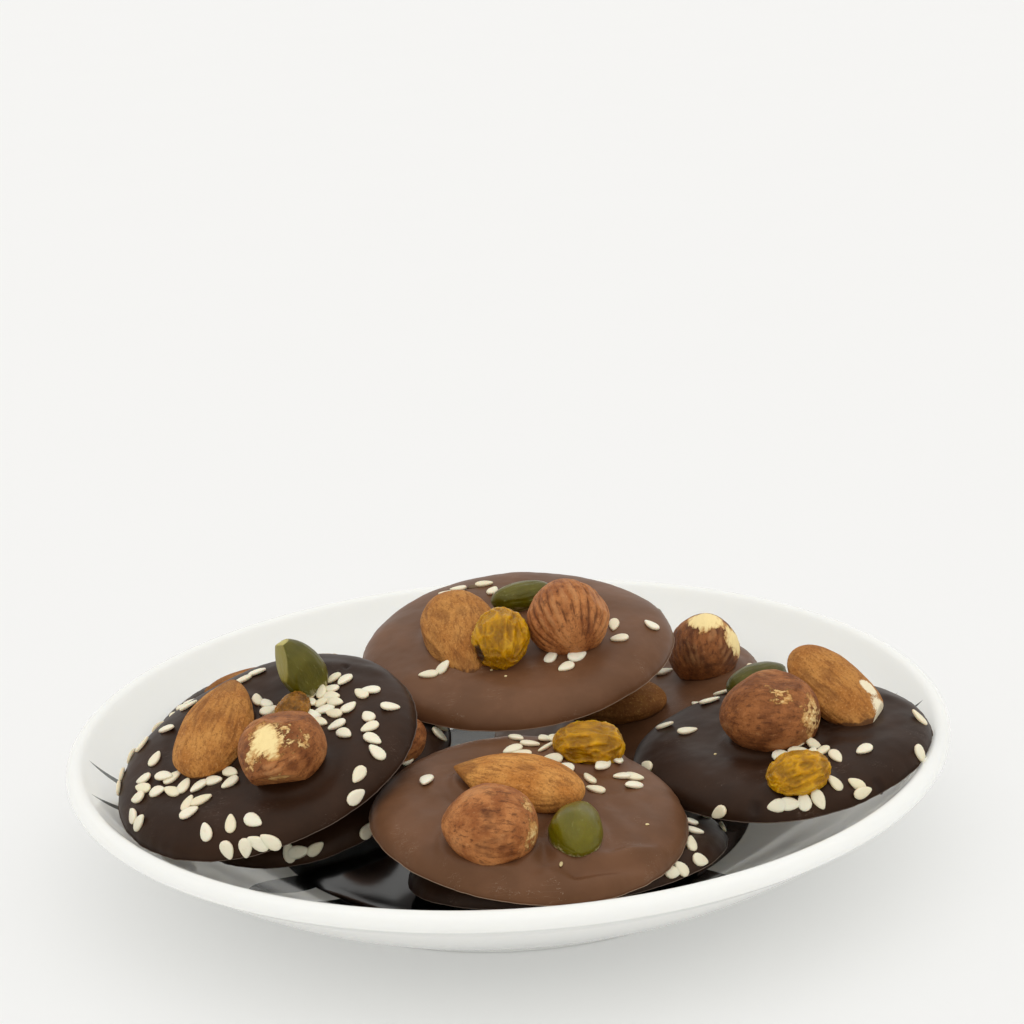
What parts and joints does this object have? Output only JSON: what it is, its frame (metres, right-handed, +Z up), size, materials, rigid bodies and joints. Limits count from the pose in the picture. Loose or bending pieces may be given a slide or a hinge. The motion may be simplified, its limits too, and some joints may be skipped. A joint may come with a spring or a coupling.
{
  "type": "bowl of mendiants",
  "caption": "Shallow round porcelain bowl holding a loose pile of dark and milk chocolate mendiants set with almonds, hazelnuts, raisins, pistachios and sesame seeds.",
  "frame": {"origin": "centre of the foot ring's underside, on the surface the bowl stands on", "axes": "+Z up out of the bowl, +Y away from the viewer of the pictured side, +X to that viewer's right"},
  "size_m": [0.1654, 0.1658, 0.05],
  "materials": {
    "porcelain": "white glazed porcelain with a black printed field inside",
    "dark_chocolate": "dark chocolate with a soft sheen",
    "milk_chocolate": "milk chocolate with a soft sheen",
    "almond_skin": "dry wrinkled skin",
    "hazelnut_skin": "dry papery skin",
    "golden_raisin": "wrinkled and slightly sticky",
    "pistachio_kernel": "dry green skin"
  },
  "bodies": {
    "root": {"bowl": "porcelain", "dark_left": "dark_chocolate", "dark_left_almond": "almond_skin", "dark_left_hazelnut": "hazelnut_skin", "dark_left_raisin": "golden_raisin", "dark_left_pistachio": "pistachio_kernel", "milk_top": "milk_chocolate", "milk_top_almond": "almond_skin", "milk_top_raisin": "golden_raisin", "milk_top_pistachio": "pistachio_kernel", "milk_top_hazelnut": "hazelnut_skin", "milk_front": "milk_chocolate", "milk_front_almond": "almond_skin", "milk_front_hazelnut": "hazelnut_skin", "milk_front_pistachio": "pistachio_kernel", "milk_front_raisin": "golden_raisin", "dark_right": "dark_chocolate", "dark_right_hazelnut": "hazelnut_skin", "dark_right_almond": "almond_skin", "dark_right_pistachio": "pistachio_kernel", "dark_right_raisin": "golden_raisin", "milk_back": "milk_chocolate", "milk_back_hazelnut": "hazelnut_skin", "milk_back_almond": "almond_skin", "milk_back_pistachio": "pistachio_kernel", "milk_back_raisin": "golden_raisin", "dark_under_left": "dark_chocolate", "dark_under_left_hazelnut": "hazelnut_skin", "dark_under_left_almond": "almond_skin", "dark_back_left": "dark_chocolate", "dark_back_left_almond": "almond_skin", "dark_back_left_hazelnut": "hazelnut_skin", "dark_back_left_raisin": "golden_raisin", "dark_under_front": "dark_chocolate"}
  },
  "joints": []
}
